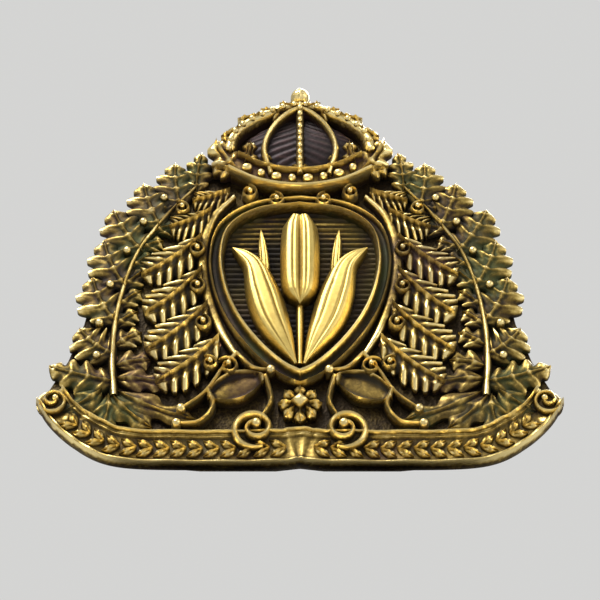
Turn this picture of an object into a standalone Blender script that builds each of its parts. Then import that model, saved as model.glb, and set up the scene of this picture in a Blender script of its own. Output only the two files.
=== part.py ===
"""Cap badge with a crowned shield, built up from struck overlays pinned to a plate.

Every piece is drawn in the plane of the badge's face: x runs to the viewer's right, y up
towards the crown, and z out of the face towards the viewer, from a point on the plate's back
midway between the two screw posts. One empty then stands the badge upright, so that the face
looks along -Y and the crown points along +Z, with the origin at the middle of the plate's back.
"""

import math

import bmesh
import bpy
from mathutils import Vector

MM = 0.001

# Driving dimensions
POSTS_BELOW_ORIGIN = 5.5 * MM
PLATE_THICKNESS = 1.0 * MM
GAP = 0.03 * MM                 # left between pieces that bear on each other
OVERLAY_FLOOR = PLATE_THICKNESS + GAP
LAYER = 0.02 * MM               # each struck shape starts this much above the one below it
SHARP_ANGLE = math.radians(30)  # an edge that turns by more than this stays sharp

# Screw fixings
POST_SPACING = 28.0 * MM
POST_RADIUS = 1.4 * MM
POST_END = -9.5 * MM
FLANGE_RADIUS = 3.5 * MM
FLANGE_THICKNESS = 0.6 * MM
CLOTH_THICKNESS = 3.0 * MM      # the cap band that the keeper plate clamps
KEEPER_THICKNESS = 0.8 * MM
KEEPER_LENGTH = 38.0 * MM
KEEPER_WIDTH = 11.0 * MM
KEEPER_END_STEPS = 6            # faces in each quarter turn of its ends
HOLE_CLEARANCE = 0.2 * MM
FLANGE_CLEARANCE = 0.05 * MM
NUT_CLEARANCE = 0.08 * MM
POST_TIP_SHARE = 0.75           # the tip's radius as a share of the post's
FIXING_STEPS = 24
WASHER_RADIUS = 3.4 * MM
WASHER_THICKNESS = 0.6 * MM
NUT_RADIUS = 4.4 * MM
NUT_THICKNESS = 2.5 * MM
NUT_CHAMFER = 0.25 * MM
KNURLS = 20
KNURL_DEPTH = 0.35 * MM

# Pins brazed to the overlays' backs and peened behind the plate
PIN_RADIUS = 0.5 * MM
PIN_HEAD_RADIUS = 0.95 * MM
PIN_HEAD_HEIGHT = 0.32 * MM
PIN_HEAD_TAPER = 0.8            # the head's outer face as a share of its radius
PIN_HOLE_RADIUS = 0.58 * MM
PIN_STEPS = 12

# Shield: the right half of the rim's outer and inner edges, from the top down, in millimetres
RIM_OUTER = ((0.0, 14.4), (4.6, 13.6), (7.8, 11.2), (8.8, 7.4), (8.4, 3.2), (7.0, -0.6), (4.7, -4.2),
             (2.1, -6.9), (0.0, -8.15))
RIM_INNER = ((0.0, 13.2), (4.1, 12.5), (6.9, 10.4), (7.7, 7.2), (7.3, 3.4), (6.0, -0.1), (3.9, -3.5),
             (1.6, -5.9), (0.0, -6.95))
RIM_HEIGHT = 3.0 * MM
RIM_SHOULDER = 2.2 * MM
FIELD_SHRINK = 0.99             # leaves a fine gap between the field and the rim round it
FIELD_TOP = 1.6 * MM
RIM_SECTIONS = 21

# Lily: the right half of its thin web, then the middle lines and half widths of its petals, in millimetres
LILY_WEB = ((0, -6.3), (1.2, -4.6), (3.4, -0.6), (4.4, 2.6), (3.4, 5.2), (1.4, 7.6), (0, 8.4))
CENTRE_PETAL = ((0, 0.9), (0, 11.5))
CENTRE_WIDTHS = (0.25, 1.2, 1.75, 1.9, 1.9, 1.85, 1.6, 1.0, 0.3)
OUTER_PETAL = ((0.5, -6.0), (2.9, -1.6), (4.5, 3.0), (6.6, 8.2))
OUTER_WIDTHS = (0.3, 0.7, 1.05, 1.25, 1.3, 1.2, 1.0, 0.8, 0.55, 0.25)
INNER_PETAL = ((3.6, 2.0), (3.55, 6.0), (3.9, 9.7))
INNER_WIDTHS = (0.7, 0.75, 0.7, 0.6, 0.45, 0.2)
LILY_FLOOR = FIELD_TOP + GAP
LILY_WEB_TOP = 2.0 * MM
# Heights above the plate's back, here and below, are those of a struck bar's edges and its ridge
CENTRE_PETAL_HEIGHTS = (2.7 * MM, 3.7 * MM)
OUTER_PETAL_HEIGHTS = (2.5 * MM, 3.4 * MM)
INNER_PETAL_HEIGHTS = (2.35 * MM, 2.9 * MM)

# Crown: the right halves of its band, of the arch over its cap and of the ribs, as middle lines in
# millimetres, then its horns, its spine and the right half of the cap's outline
CROWN_SECTIONS = 17
CROWN_BAND = ((0, 16.3), (3.7, 16.9), (6.7, 18.5))
CROWN_BAND_HALF_WIDTH = 1.05 * MM
CROWN_BAND_HEIGHTS = (2.7 * MM, 3.2 * MM)
CROWN_HORN = ((6.0, 17.9), (7.0, 19.6), (8.0, 21.5))
CROWN_HORN_WIDTHS = (0.8, 1.0, 1.05, 1.0, 0.8, 0.4)
CROWN_ARCH = ((0.0, 25.9), (3.8, 24.7), (6.5, 22.5), (7.2, 20.2))
CROWN_ARCH_HALF_WIDTH = 0.7 * MM
CROWN_HEIGHTS = (2.5 * MM, 3.3 * MM)
CROWN_RIB = ((0.0, 25.3), (2.4, 23.5), (3.6, 20.4), (2.9, 16.9))
CROWN_RIB_HALF_WIDTH = 0.4 * MM
CROWN_RIB_FLOOR = 2.6 * MM
CROWN_RIB_HEIGHTS = (2.95 * MM, 3.42 * MM)
CROWN_SPINE = ((0, 16.9), (0, 25.9))
CROWN_SPINE_HALF_WIDTH = 0.5 * MM
CROWN_SPINE_FLOOR = 2.64 * MM
CROWN_SPINE_HEIGHTS = (3.1 * MM, 3.7 * MM)
CAP_OUTLINE = ((0, 25.0), (3.2, 23.8), (5.4, 22.0), (6.0, 20.9), (5.4, 19.5), (3.5, 18.3), (0, 17.75))
CAP_TOP = 2.5 * MM
CAP_ROUNDING = 0.5 * MM
ORB_CENTRE = (0.0, 27.55 * MM)
ORB_RADIUS = 0.95 * MM
ORB_EQUATOR = 1.9 * MM          # height of the orb's widest ring above the plate's back
ORB_TOP = 2.9 * MM
ORB_STEPS = 16
ORB_RINGS = 5

# Rosette stud, with (share of its radius, height in millimetres) down its turned face
ROSETTE_CENTRE = (0.0, -10.4 * MM)
ROSETTE_RADIUS = 2.15 * MM
ROSETTE_FACE = ((0, 3.1), (0.35, 2.9), (0.45, 2.3), (0.8, 2.4), (1, 2.0))
ROSETTE_STEPS = 20

# Where each overlay is pinned, for the badge's right half, in millimetres
PINS = {
    "crown": (7.0, 19.8),
    "leaf_upper": (14.4, 10.9),
    "leaf_lower": (18.3, -4.4),
    "mantling_upper": (9.35, 9.6),
    "mantling_lower": (8.2, -2.8),
    "ribbon": (13.4, -15.3),
    "base_leaf": (5.9, -8.8),
}
CENTRE_PINS = {"rim_top": (0.0, 13.8), "rim_bottom": (0.0, -7.5), "lily": (0.0, 3.0)}

# Leaves of the right outer spray: base x, y, tip x, y, width and sideways bend, in millimetres
SPRAY_LEAVES = (
    (18.0, -7.8, 24.4, -5.9, 3.8, 0.5),
    (18.2, -4.6, 22.1, -1.2, 4.6, 0.8),
    (18.0, -0.8, 21.1, 5.0, 5.0, 0.8),
    (17.2, 3.5, 20.0, 9.4, 5.0, 0.7),
    (15.6, 7.8, 18.7, 13.2, 4.8, 0.6),
    (13.9, 10.8, 15.7, 16.5, 4.6, 0.5),
    (12.0, 13.4, 12.6, 19.1, 4.2, 0.4),
    (10.4, 15.4, 9.9, 20.4, 2.8, 0.3),
)
SPRAY_STEM = ((18.0, -9.4), (18.3, -4.5), (17.8, 1.5), (16.2, 7.6), (13.3, 12.4), (10.4, 16.0))

# Leaves of the right mantling, which hang outwards beside the shield
MANTLING_LEAVES = (
    (7.0, 15.0, 10.8, 13.6, 3.2, 0.5),
    (8.8, 12.6, 13.0, 10.3, 3.4, 0.6),
    (9.8, 9.4, 15.7, 4.4, 4.2, 0.8),
    (9.6, 5.4, 15.3, -0.4, 4.4, 0.9),
    (9.0, 1.1, 15.1, -4.8, 4.4, 0.9),
    (7.9, -3.0, 14.0, -8.7, 4.4, 0.9),
)
MANTLING_STEM = ((6.6, 14.5), (8.6, 12.0), (9.6, 8.0), (9.3, 3.2), (7.9, -1.6), (6.2, -5.0))

SPRAY_LEAF_HEIGHTS = (1.55 * MM, 2.45 * MM)
SPRAY_STEM_HEIGHTS = (1.5 * MM, 2.0 * MM)
SPRAY_STEM_HALF_WIDTH = 0.75 * MM
MANTLING_LEAF_HEIGHTS = (1.9 * MM, 3.1 * MM)
MANTLING_STEM_HEIGHTS = (2.1 * MM, 2.8 * MM)
MANTLING_STEM_HALF_WIDTH = 0.7 * MM
STEM_SECTIONS = 12
LEAF_NARROWEST = 0.06           # a leaf's least width as a share of its greatest

# The right leaf under the shield, in the same way
BASE_LEAF = (3.4, -7.5, 8.9, -10.2, 3.4, -0.3)
BASE_LEAF_HEIGHTS = (1.7 * MM, 2.4 * MM)

# Middle line of the ribbon's right half, in millimetres
RIBBON_PATH = ((0.0, -15.2), (2.3, -15.5), (9.6, -15.6), (17.0, -15.3), (20.4, -13.7),
               (22.8, -11.6), (24.2, -9.3))
RIBBON_HALF_WIDTH = 2.0 * MM
RIBBON_END = 24.3 * MM          # how far out the ribbon's middle line reaches
RIBBON_TAPER_START = 0.8        # share of that reach where it starts to narrow
RIBBON_TAPER = 0.25             # share of its width that it has lost at its end
RIBBON_BORDER_TOP = 2.5 * MM
RIBBON_FIELD_TOP = 2.1 * MM
RIBBON_SECTIONS = 21

# Right half of the plate's outline, from the crown down to the ribbon, in millimetres
PLATE_OUTLINE = ((0.0, 27.2), (4.2, 24.9), (8.0, 21.6), (9.0, 19.2), (12.8, 17.2), (16.2, 13.4),
                 (18.7, 9.0), (20.3, 4.4), (21.2, -0.4), (22.6, -4.8), (24.6, -8.8), (23.6, -11.4),
                 (20.8, -14.3), (17.4, -16.2), (9.6, -17.0), (2.3, -17.0), (0.0, -16.7))

# Base colour, roughness and metallic value of each material
MATERIALS = {
    "antique_brass": ((0.23, 0.165, 0.06), 0.42, 1.0),
    "dark_plate": ((0.075, 0.052, 0.02), 0.55, 1.0),
    "polished_brass": ((0.86, 0.71, 0.33), 0.22, 1.0),
    "crown_velvet": ((0.05, 0.028, 0.02), 0.7, 0.0),
    "hardware_brass": ((0.62, 0.47, 0.2), 0.35, 1.0),
    "copper_pin": ((0.5, 0.25, 0.13), 0.4, 1.0),
}


def clear_scene():
    for obj in list(bpy.data.objects):
        bpy.data.objects.remove(obj)


def new_collection(name):
    collection = bpy.data.collections.new(name)
    bpy.context.scene.collection.children.link(collection)
    return collection


def make_materials():
    made = {}
    for name, (colour, roughness, metallic) in MATERIALS.items():
        material = bpy.data.materials.new(name)
        material.use_nodes = True
        shader = material.node_tree.nodes["Principled BSDF"]
        shader.inputs["Base Color"].default_value = (*colour, 1.0)
        shader.inputs["Roughness"].default_value = roughness
        shader.inputs["Metallic"].default_value = metallic
        material.diffuse_color = (*colour, 1.0)
        made[name] = material
    return made


clear_scene()
PARTS = new_collection("cap_badge")
CUTTERS = new_collection("cutters")
LOOKS = make_materials()
FACE = bpy.data.objects.new("face_axes", None)
FACE.rotation_euler = (math.radians(90), 0, 0)
FACE.location = (0, 0, -POSTS_BELOW_ORIGIN)
PARTS.objects.link(FACE)


def in_mm(points):
    return [Vector((p[0] * MM, p[1] * MM)) for p in points]


def on_side(points, side):
    """The right half's points, or their mirror image where side is -1."""
    return [Vector((side * p.x, p.y)) for p in points]


def across_centre(half_points):
    """A whole line from its right half in millimetres, which starts on the centre line."""
    right = in_mm(half_points)
    return on_side(right[:0:-1], -1) + right


def place(obj, material, location=(0, 0, 0)):
    """Puts a finished piece on the face's axes, in its material."""
    if obj.name not in PARTS.objects:
        PARTS.objects.link(obj)
    obj.parent = FACE
    obj.location = location
    obj.data.materials.clear()
    obj.data.materials.append(LOOKS[material])
    return obj


def helper(obj):
    """Hides a shape that is only joined to another."""
    CUTTERS.objects.link(obj)
    obj.parent = FACE
    obj.hide_render = True
    obj.display_type = "WIRE"
    return obj


def join(target, others):
    """Adds each helper to the target with an exact Boolean union."""
    for other in others:
        union = target.modifiers.new("join_" + other.name, "BOOLEAN")
        union.operation = "UNION"
        union.solver = "EXACT"
        union.object = helper(other)
    return target


def curve_through(points, count):
    """Points on a Catmull-Rom curve through the given ones."""
    ends = [2 * points[0] - points[1], *points, 2 * points[-1] - points[-2]]
    made = []
    for i in range(count):
        at = i / (count - 1) * (len(points) - 1)
        k = min(int(at), len(points) - 2)
        t = at - k
        a, b, c, d = ends[k:k + 4]
        made.append(0.5 * (2 * b + (c - a) * t + (2 * a - 5 * b + 4 * c - d) * t * t
                           + (3 * b - a - 3 * c + d) * t ** 3))
    return made


def sideways(points):
    """Unit vector across the line at each of its points."""
    made = []
    for i in range(len(points)):
        along = points[min(i + 1, len(points) - 1)] - points[max(i - 1, 0)]
        made.append(Vector((-along.y, along.x)).normalized())
    return made


def loft(name, rings, closed=False):
    """A mesh through rings of points, with its ends filled or, if closed, joined to each other.

    It is shaded smooth but for its sharp edges.
    """
    bm = bmesh.new()
    rows = [[bm.verts.new(p) for p in ring] for ring in rings]
    count = len(rows[0])
    for low, high in zip(rows, rows[1:] + (rows[:1] if closed else [])):
        for i in range(count):
            bm.faces.new((low[i], low[(i + 1) % count], high[(i + 1) % count], high[i]))
    if not closed:
        bm.faces.new(rows[0])
        bm.faces.new(rows[-1])
    bmesh.ops.triangulate(bm, faces=bm.faces[:])
    bmesh.ops.recalc_face_normals(bm, faces=bm.faces)
    mesh = bpy.data.meshes.new(name)
    bm.to_mesh(mesh)
    bm.free()
    mesh.shade_smooth()
    mesh.set_sharp_from_angle(angle=SHARP_ANGLE)
    return bpy.data.objects.new(name, mesh)


def strip(name, line, half_widths, section):
    """A bar that follows a line in the face. section lists (share of the half width, height).

    half_widths is one half width for the whole bar, or one for each point of the line.
    """
    if isinstance(half_widths, float):
        half_widths = [half_widths] * len(line)
    rings = []
    for centre, across, half in zip(line, sideways(line), half_widths):
        ring = [centre + across * half * share for share, _ in section]
        rings.append([(p.x, p.y, height) for p, (_, height) in zip(ring, section)])
    return loft(name, rings)


def ridged(floor, edge, ridge):
    """Section of a leaf or a stem: upright edges and a raised middle line."""
    return ((-1, floor), (-1, edge), (0, ridge), (1, edge), (1, floor))


def leaf_line(base, tip, bend, count):
    """A bent line from base to tip. bend moves its control point off the straight line."""
    middle = (base + tip) / 2
    along = tip - base
    control = middle + Vector((-along.y, along.x)).normalized() * bend
    return [base * (1 - s) ** 2 + control * 2 * s * (1 - s) + tip * s * s
            for s in (i / (count - 1) for i in range(count))]


def leaf(name, row, side, floor, edge, ridge, lobes=3, lobe_depth=0.3):
    """A lobed leaf with a raised midrib, widest a little short of its middle."""
    base_x, base_y, tip_x, tip_y, width, bend = row
    base, tip = on_side(in_mm(((base_x, base_y), (tip_x, tip_y))), side)
    count = 2 * lobes + 3
    line = leaf_line(base, tip, -side * bend * MM, count)
    halves = []
    for i in range(count):
        s = i / (count - 1)
        full = math.sin(math.pi * (0.08 + 0.9 * s) ** 0.85)
        notch = lobe_depth if i % 2 == 0 and 0 < i < count - 1 else 0.0
        halves.append(width / 2 * MM * max(full * (1 - notch), LEAF_NARROWEST))
    return strip(name, line, halves, ridged(floor, edge, ridge))


def slab(name, outlines, low, high):
    """A flat plate. The first outline is its edge and the others are holes."""
    curve = bpy.data.curves.new(name, "CURVE")
    curve.dimensions = "2D"
    curve.fill_mode = "BOTH"
    curve.extrude = (high - low) / 2
    for outline in outlines:
        spline = curve.splines.new("POLY")
        spline.points.add(len(outline) - 1)
        for point, at in zip(spline.points, outline):
            point.co = (at[0], at[1], 0, 1)
        spline.use_cyclic_u = True
    drawn = bpy.data.objects.new(name + "_curve", curve)
    bpy.context.scene.collection.objects.link(drawn)
    graph = bpy.context.evaluated_depsgraph_get()
    mesh = bpy.data.meshes.new_from_object(drawn.evaluated_get(graph))
    bpy.data.objects.remove(drawn)
    bm = bmesh.new()
    bm.from_mesh(mesh)
    bmesh.ops.remove_doubles(bm, verts=bm.verts, dist=1e-7)
    bmesh.ops.translate(bm, vec=(0, 0, (low + high) / 2), verts=bm.verts)
    bmesh.ops.recalc_face_normals(bm, faces=bm.faces)
    bm.to_mesh(mesh)
    bm.free()
    mesh.name = name
    return bpy.data.objects.new(name, mesh)


def circle(centre, radius, count):
    steps = (2 * math.pi * i / count for i in range(count))
    return [(centre[0] + radius * math.cos(a), centre[1] + radius * math.sin(a)) for a in steps]


def turned(name, profile, steps):
    """A turned piece round its own z axis. The profile runs down its outer side, top to bottom."""
    mesh = bpy.data.meshes.new(name)
    edges = [(i, i + 1) for i in range(len(profile) - 1)]
    mesh.from_pydata([(r, 0, z) for r, z in profile], edges, [])
    obj = bpy.data.objects.new(name, mesh)
    screw = obj.modifiers.new("turn", "SCREW")
    screw.axis = "Z"
    screw.steps = steps
    screw.render_steps = steps
    screw.use_merge_vertices = True
    screw.merge_threshold = 1e-6
    return obj


def ring_profile(inner, outer, low, high):
    return [(inner, high), (outer, high), (outer, low), (inner, low), (inner, high)]


def rim_edge(half_points, shrink=1.0):
    """A whole edge of the shield's rim, as a smooth curve through its right half and its mirror."""
    right = curve_through(in_mm(half_points), RIM_SECTIONS)
    whole = right + on_side(right[-2:0:-1], -1)
    return [(p.x * shrink, p.y * shrink) for p in whole]


def mirrored(half_outline):
    """A whole outline from its right half, which starts and ends on the centre line."""
    right = [(p[0] * MM, p[1] * MM) for p in half_outline]
    return right + [(-x, y) for x, y in reversed(right[1:-1])]


def pin_end():
    """Profile of a pin's shank below the plate's face and of its peened head."""
    return [(PIN_RADIUS, -GAP), (PIN_HEAD_RADIUS, -GAP),
            (PIN_HEAD_RADIUS * PIN_HEAD_TAPER, -PIN_HEAD_HEIGHT), (0, -PIN_HEAD_HEIGHT - GAP)]


def pin_places():
    """Name, place and length above the plate of every pin."""
    places = {}
    for name, (x, y) in PINS.items():
        for side, word in ((1, "right"), (-1, "left")):
            places[f"{name}_pin_{word}"] = (side * x * MM, y * MM, PLATE_THICKNESS)
    for name, (x, y) in CENTRE_PINS.items():
        top = FIELD_TOP if name == "lily" else PLATE_THICKNESS
        places[f"{name}_pin"] = (x * MM, y * MM, top)
    return places


def make_plate():
    holes = [circle(at, PIN_HOLE_RADIUS, PIN_STEPS) for at in pin_places().values()]
    holes.append(circle(ROSETTE_CENTRE, PIN_HOLE_RADIUS, PIN_STEPS))
    place(slab("base_plate", [mirrored(PLATE_OUTLINE), *holes], 0, PLATE_THICKNESS), "dark_plate")


def make_pins():
    for name, (x, y, top) in pin_places().items():
        profile = [(0, top), (PIN_RADIUS, top), *pin_end()]
        place(turned(name, profile, PIN_STEPS), "copper_pin", (x, y, 0))


def make_leafy(name, side, stem_points, leaf_rows, stem_half, stem_heights, leaf_heights):
    """A stem with its leaves, struck in one piece."""
    stem = curve_through(on_side(in_mm(stem_points), side), STEM_SECTIONS)
    bar = strip(name, stem, stem_half, ridged(OVERLAY_FLOOR, *stem_heights))
    edge, ridge = leaf_heights
    leaves = []
    for i, row in enumerate(leaf_rows, start=1):
        rise = LAYER * i
        leaves.append(leaf(f"{name}_leaf_{i}", row, side, OVERLAY_FLOOR + rise, edge + rise, ridge + rise))
    place(join(bar, leaves), "antique_brass")


def make_sprays():
    """The two outer sprays of leaves, and the two inner mantlings that hang beside the shield."""
    for side, word in ((1, "right"), (-1, "left")):
        make_leafy(f"leaf_spray_{word}", side, SPRAY_STEM, SPRAY_LEAVES,
                   SPRAY_STEM_HALF_WIDTH, SPRAY_STEM_HEIGHTS, SPRAY_LEAF_HEIGHTS)
        make_leafy(f"mantling_{word}", side, MANTLING_STEM, MANTLING_LEAVES,
                   MANTLING_STEM_HALF_WIDTH, MANTLING_STEM_HEIGHTS, MANTLING_LEAF_HEIGHTS)


def make_shield():
    """The shield's field, and the raised rim round it."""
    hole = circle(in_mm([CENTRE_PINS["lily"]])[0], PIN_HOLE_RADIUS, PIN_STEPS)
    field = slab("shield_field", [rim_edge(RIM_INNER, FIELD_SHRINK), hole], OVERLAY_FLOOR, FIELD_TOP)
    place(field, "dark_plate")
    rings = []
    for (ox, oy), (ix, iy) in zip(rim_edge(RIM_OUTER), rim_edge(RIM_INNER)):
        rings.append([(ox, oy, OVERLAY_FLOOR), (ox, oy, RIM_SHOULDER),
                      ((ox + ix) / 2, (oy + iy) / 2, RIM_HEIGHT),
                      (ix, iy, RIM_SHOULDER), (ix, iy, OVERLAY_FLOOR)])
    place(loft("shield_rim", rings, closed=True), "antique_brass")


def petal(name, points, widths, layer, heights):
    """A ridged petal. Its layer lifts its floor a little, clear of the petals struck below it."""
    line = curve_through(points, len(widths))
    floor = LILY_FLOOR + LAYER * layer
    return strip(name, line, [w * MM for w in widths], ridged(floor, *heights))


def make_lily():
    """The bright three-petalled lily, struck in one piece with a thin web between its petals."""
    web = slab("lily_overlay", [mirrored(LILY_WEB)], LILY_FLOOR, LILY_WEB_TOP)
    petals = [petal("lily_centre", in_mm(CENTRE_PETAL), CENTRE_WIDTHS, 1, CENTRE_PETAL_HEIGHTS)]
    for side, word in ((1, "right"), (-1, "left")):
        outer, inner = on_side(in_mm(OUTER_PETAL), side), on_side(in_mm(INNER_PETAL), side)
        petals.append(petal(f"lily_outer_{word}", outer, OUTER_WIDTHS, 2, OUTER_PETAL_HEIGHTS))
        petals.append(petal(f"lily_inner_{word}", inner, INNER_WIDTHS, 3, INNER_PETAL_HEIGHTS))
    place(join(web, petals), "polished_brass")


def make_crown_frame():
    """The crown's band, its two horns, and the arches, ribs and spine over its cap."""
    edge, crest = CROWN_BAND_HEIGHTS
    section = ((-1, OVERLAY_FLOOR), (-1, edge), (-0.5, crest),
               (0.5, crest), (1, edge), (1, OVERLAY_FLOOR))
    line = curve_through(across_centre(CROWN_BAND), CROWN_SECTIONS)
    band = strip("crown_frame", line, CROWN_BAND_HALF_WIDTH, section)
    pieces = []
    for side, word in ((1, "right"), (-1, "left")):
        horn = curve_through(on_side(in_mm(CROWN_HORN), side), len(CROWN_HORN_WIDTHS))
        pieces.append(strip(f"crown_horn_{word}", horn, [w * MM for w in CROWN_HORN_WIDTHS],
                            ridged(OVERLAY_FLOOR + LAYER, *CROWN_HEIGHTS)))
    arch = curve_through(across_centre(CROWN_ARCH), CROWN_SECTIONS)
    pieces.append(strip("crown_arch", arch, CROWN_ARCH_HALF_WIDTH,
                        ridged(OVERLAY_FLOOR + 2 * LAYER, *CROWN_HEIGHTS)))
    ribs = curve_through(across_centre(CROWN_RIB), CROWN_SECTIONS)
    pieces.append(strip("crown_ribs", ribs, CROWN_RIB_HALF_WIDTH,
                        ridged(CROWN_RIB_FLOOR, *CROWN_RIB_HEIGHTS)))
    spine = in_mm(CROWN_SPINE)
    pieces.append(strip("crown_spine", spine, CROWN_SPINE_HALF_WIDTH,
                        ridged(CROWN_SPINE_FLOOR, *CROWN_SPINE_HEIGHTS)))
    place(join(band, pieces), "antique_brass")


def make_crown_cap():
    """The dark cap inside the crown's arches, rounded over its edge."""
    cap = slab("crown_cap", [mirrored(CAP_OUTLINE)], OVERLAY_FLOOR, CAP_TOP)
    soften = cap.modifiers.new("round_edge", "BEVEL")
    soften.width = CAP_ROUNDING
    soften.segments = 2
    soften.limit_method = "ANGLE"
    place(cap, "crown_velvet")


def make_orb():
    """The round-topped orb above the crown's arches."""
    profile = [(0, ORB_TOP)]
    for i in range(ORB_RINGS, 0, -1):
        angle = math.pi / 2 * (i - 1) / ORB_RINGS
        profile.append((ORB_RADIUS * math.cos(angle), ORB_EQUATOR + ORB_RADIUS * math.sin(angle)))
    profile += [(ORB_RADIUS, OVERLAY_FLOOR), (0, OVERLAY_FLOOR)]
    place(turned("crown_orb", profile, ORB_STEPS), "antique_brass", (*ORB_CENTRE, 0))


def make_ribbon():
    """The ribbon, struck with a raised border along both edges."""
    right = curve_through(in_mm(RIBBON_PATH), RIBBON_SECTIONS)
    line = on_side(right[:0:-1], -1) + right
    halves = []
    for point in line:
        past = max(abs(point.x) / RIBBON_END - RIBBON_TAPER_START, 0) / (1 - RIBBON_TAPER_START)
        halves.append(RIBBON_HALF_WIDTH * (1 - RIBBON_TAPER * past))
    section = ((-1, OVERLAY_FLOOR), (-1, RIBBON_BORDER_TOP), (-0.8, RIBBON_BORDER_TOP),
               (-0.7, RIBBON_FIELD_TOP), (0.7, RIBBON_FIELD_TOP), (0.8, RIBBON_BORDER_TOP),
               (1, RIBBON_BORDER_TOP), (1, OVERLAY_FLOOR))
    place(strip("ribbon", line, halves, section), "antique_brass")


def make_base_leaves():
    """Two short plain leaves under the shield."""
    for side, word in ((1, "right"), (-1, "left")):
        piece = leaf(f"base_leaf_{word}", BASE_LEAF, side, OVERLAY_FLOOR, *BASE_LEAF_HEIGHTS,
                     lobes=1, lobe_depth=0.0)
        place(piece, "antique_brass")


def make_rosette():
    """The stepped rosette between the base leaves, on its own peened shank."""
    profile = [(ROSETTE_RADIUS * share, height * MM) for share, height in ROSETTE_FACE]
    profile += [(ROSETTE_RADIUS, OVERLAY_FLOOR), (PIN_RADIUS, OVERLAY_FLOOR), *pin_end()]
    place(turned("rosette_stud", profile, ROSETTE_STEPS), "antique_brass", (*ROSETTE_CENTRE, 0))


def make_fixings():
    """Posts with their flanges, the keeper plate, and a washer and a knurled nut on each post."""
    keeper_top = -CLOTH_THICKNESS
    washer_top = keeper_top - KEEPER_THICKNESS - GAP
    nut_top = washer_top - WASHER_THICKNESS - GAP
    tip = POST_RADIUS * POST_TIP_SHARE
    post = [(0, -GAP), (POST_RADIUS, -GAP), (POST_RADIUS, POST_END + POST_RADIUS - tip),
            (tip, POST_END), (0, POST_END)]
    flange = ring_profile(POST_RADIUS + FLANGE_CLEARANCE, FLANGE_RADIUS, -GAP - FLANGE_THICKNESS, -GAP)
    washer = ring_profile(POST_RADIUS + HOLE_CLEARANCE, WASHER_RADIUS, -WASHER_THICKNESS, 0)
    for side, word in ((1, "right"), (-1, "left")):
        x = side * POST_SPACING / 2
        place(turned(f"post_{word}", post, FIXING_STEPS), "hardware_brass", (x, 0, 0))
        place(turned(f"post_flange_{word}", flange, FIXING_STEPS), "hardware_brass", (x, 0, 0))
        place(turned(f"washer_{word}", washer, FIXING_STEPS), "hardware_brass", (x, 0, washer_top))
        place(make_nut(f"nut_{word}"), "hardware_brass", (x, 0, nut_top))
    place(make_keeper(), "hardware_brass", (0, 0, keeper_top))


def make_keeper():
    """The round-ended keeper plate, with a hole for each post."""
    end = KEEPER_WIDTH / 2
    straight = KEEPER_LENGTH / 2 - end
    outline = []
    for i in range(-KEEPER_END_STEPS, KEEPER_END_STEPS + 1):
        angle = math.pi / 2 * i / KEEPER_END_STEPS
        outline.append((straight + end * math.cos(angle), end * math.sin(angle)))
    outline += [(-x, -y) for x, y in outline]
    hole = POST_RADIUS + HOLE_CLEARANCE
    holes = [circle((side * POST_SPACING / 2, 0), hole, FIXING_STEPS) for side in (1, -1)]
    return slab("keeper_plate", [outline, *holes], -KEEPER_THICKNESS, 0)


def make_nut(name):
    """A round knurled nut, with its front face at its origin."""
    outer_rings = ((-NUT_CHAMFER, 0), (0, -NUT_CHAMFER),
                   (0, NUT_CHAMFER - NUT_THICKNESS), (-NUT_CHAMFER, -NUT_THICKNESS))
    bore = POST_RADIUS + NUT_CLEARANCE
    rings = []
    for i in range(2 * KNURLS):
        turn = math.pi * i / KNURLS
        across = Vector((math.cos(turn), math.sin(turn)))
        radius = NUT_RADIUS - (KNURL_DEPTH if i % 2 else 0)
        ring = [(across * (radius + inset), z) for inset, z in outer_rings]
        ring += [(across * bore, -NUT_THICKNESS), (across * bore, 0)]
        rings.append([(p.x, p.y, z) for p, z in ring])
    return loft(name, rings, closed=True)


make_plate()
make_pins()
make_sprays()
make_shield()
make_lily()
make_crown_frame()
make_crown_cap()
make_orb()
make_ribbon()
make_base_leaves()
make_rosette()
make_fixings()
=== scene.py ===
"""The looks of a crowned-shield cap badge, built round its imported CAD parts.

The relief is drawn in the plane of the badge's face, in millimetres: x runs to the viewer's
right, y up towards the crown and h out of the face. Each overlay is laid out in shares of its
own CAD node's box, then turned into the row frame, where the face looks along -Y.
"""

import math

import bmesh
import bpy
import numpy as np
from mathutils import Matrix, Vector
from mathutils.bvhtree import BVHTree


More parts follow.
